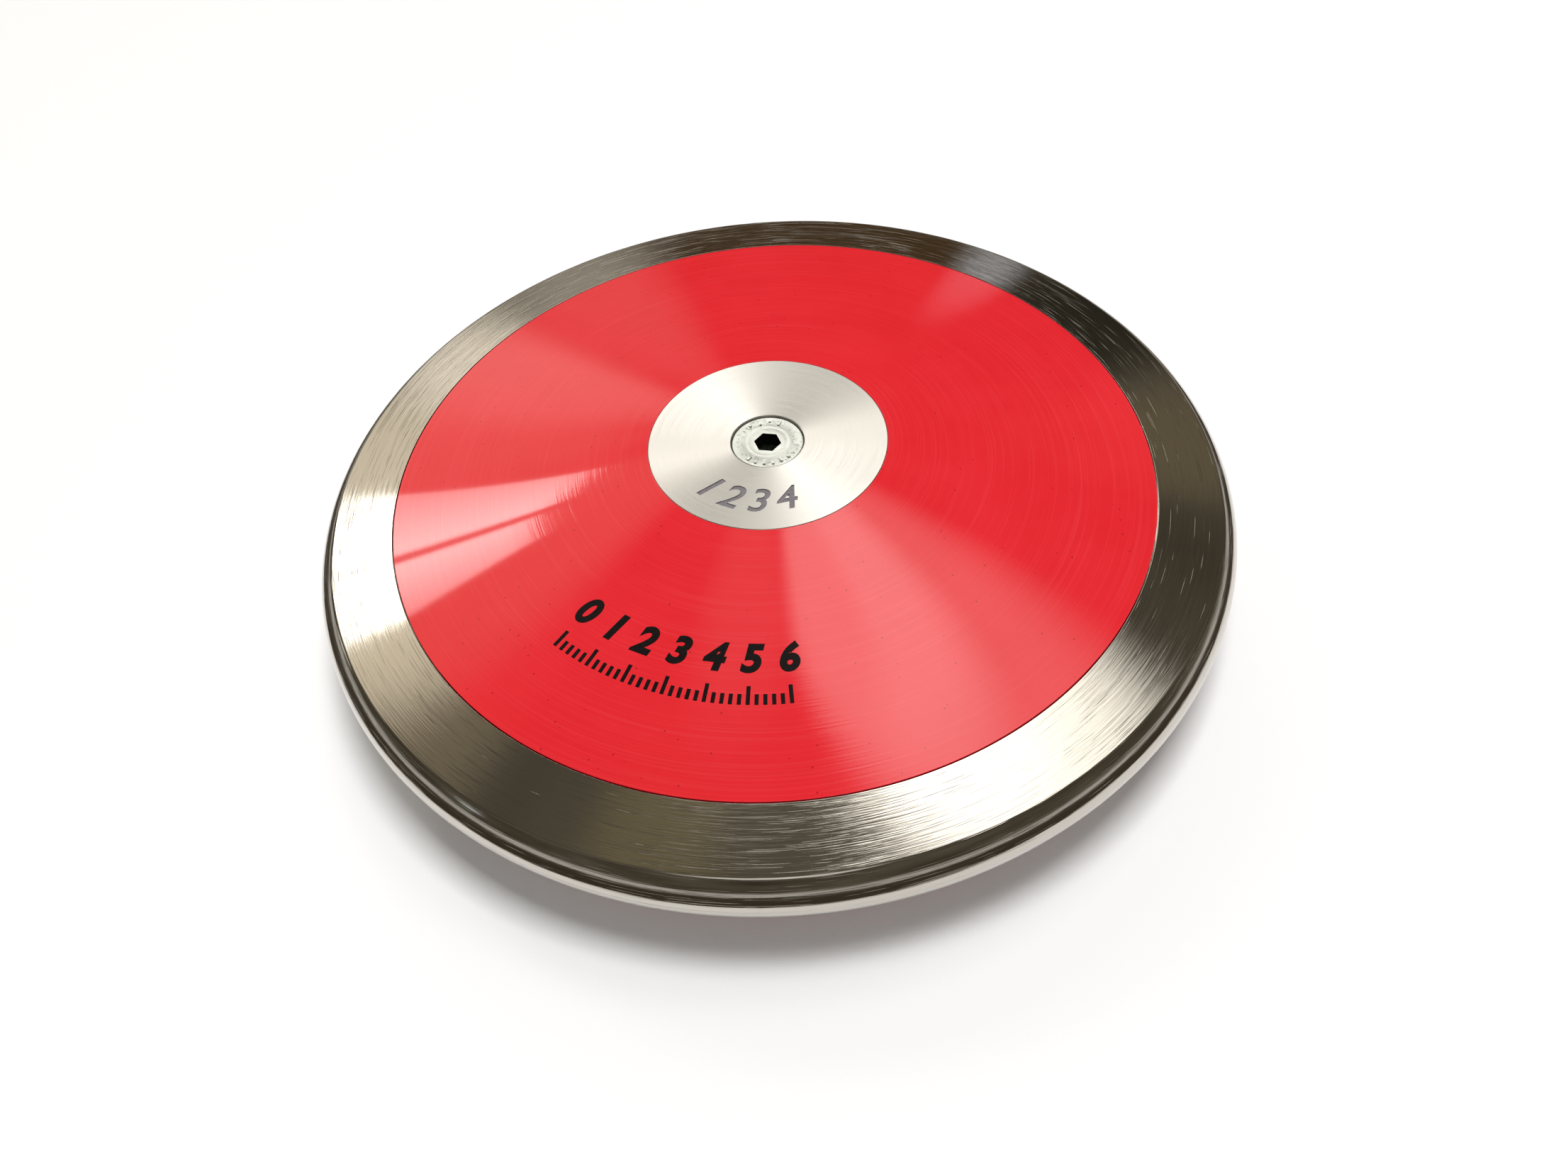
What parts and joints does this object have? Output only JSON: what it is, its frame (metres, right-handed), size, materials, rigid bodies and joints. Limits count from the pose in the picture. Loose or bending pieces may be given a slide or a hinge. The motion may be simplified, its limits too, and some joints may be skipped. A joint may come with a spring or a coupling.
{
  "type": "discus",
  "caption": "Throwing discus with a bevelled polished steel rim, glossy red side plates and turned metal centre plates held by countersunk screws.",
  "frame": {"origin": "middle of the flat face of the bottom centre plate, on which the discus rests", "axes": "+Z along the discus's axis, from the bottom centre plate to the top one; the discus is round, so +X and +Y have no feature of their own"},
  "size_m": [0.156, 0.156, 0.032],
  "materials": {
    "rim_steel": "polished",
    "red_abs": "gloss",
    "turned_aluminium": "satin",
    "zinc_plated_steel": "satin",
    "plain_steel": "matte"
  },
  "bodies": {
    "root": {"rim": "rim_steel", "top_side_plate": "red_abs", "bottom_side_plate": "red_abs", "top_centre_plate": "turned_aluminium", "bottom_centre_plate": "turned_aluminium", "top_screw": "zinc_plated_steel", "bottom_screw": "zinc_plated_steel", "core": "plain_steel", "trim_washer_1": "plain_steel", "trim_washer_2": "plain_steel", "trim_washer_3": "plain_steel"}
  },
  "joints": []
}
